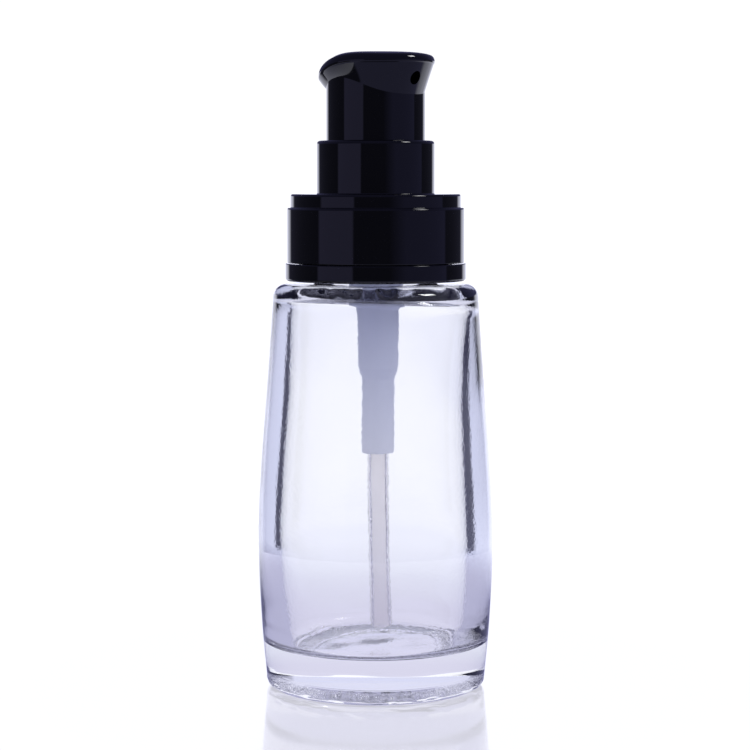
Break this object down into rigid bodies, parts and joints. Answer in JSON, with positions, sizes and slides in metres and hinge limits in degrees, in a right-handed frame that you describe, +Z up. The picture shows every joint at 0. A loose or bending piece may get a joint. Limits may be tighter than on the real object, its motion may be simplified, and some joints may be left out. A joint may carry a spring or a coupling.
{
  "type": "foundation bottle",
  "caption": "Round clear glass bottle with a heavy base, a stepped black screw collar and a push-down pump whose swivelling head has a side nozzle.",
  "frame": {"origin": "centre of the bottle's base, on the surface that it stands on", "axes": "+Z up along the bottle's axis, +X the way the nozzle points, so the XZ plane is the plane of symmetry"},
  "size_m": [0.0346, 0.0346, 0.0933],
  "materials": {
    "clear_glass": "clear polished flint glass, faintly lavender",
    "black_plastic": "high-gloss black moulded plastic",
    "white_plastic": "translucent natural polypropylene",
    "soft_seal": "soft white polyethylene",
    "spring_steel": "drawn stainless wire",
    "clear_tube": "translucent extruded polyethylene"
  },
  "bodies": {
    "bottle": {"glass_bottle": "clear_glass"},
    "pump_body": {"pump_housing": "white_plastic", "stem_guide": "white_plastic", "neck_gasket": "soft_seal", "dip_tube": "clear_tube", "return_spring": "spring_steel"},
    "closure": {"threaded_closure": "black_plastic", "collar_shell": "black_plastic"},
    "plunger": {"piston_rod": "white_plastic", "valve_pin": "white_plastic"},
    "actuator": {"actuator_shell": "black_plastic", "nozzle_core": "black_plastic"},
    "piston": {"piston_seal": "soft_seal"},
    "ball": {"intake_ball": "spring_steel"}
  },
  "joints": [
    {"name": "closure_lift", "type": "slide", "parent": "bottle", "child": "pump_body", "axis": [0, 0, 1], "range_m": [0, 0.0048]},
    {"name": "closure_turn", "type": "hinge", "parent": "pump_body", "child": "closure", "pos_m": [0, 0, 0.0655], "axis": [0, 0, 1], "range_deg": [0, 540]},
    {"name": "pump_stroke", "type": "slide", "parent": "pump_body", "child": "plunger", "axis": [0, 0, -1], "range_m": [0, 0.005], "stiffness_N_per_m": 600, "springref_m": -0.002, "deforming": ["return_spring"]},
    {"name": "nozzle_turn", "type": "hinge", "parent": "plunger", "child": "actuator", "pos_m": [0, 0, 0.083], "axis": [0, 0, 1], "continuous": true},
    {"name": "piston_float", "type": "slide", "parent": "plunger", "child": "piston", "axis": [0, 0, 1], "range_m": [0, 0.0007]},
    {"name": "ball_lift", "type": "slide", "parent": "pump_body", "child": "ball", "axis": [0, 0, 1], "range_m": [0, 0.0008]}
  ],
  "couplings": [
    {"joint": "closure_lift", "follows": "closure_turn", "m_per_rad": 0.00050532}
  ]
}
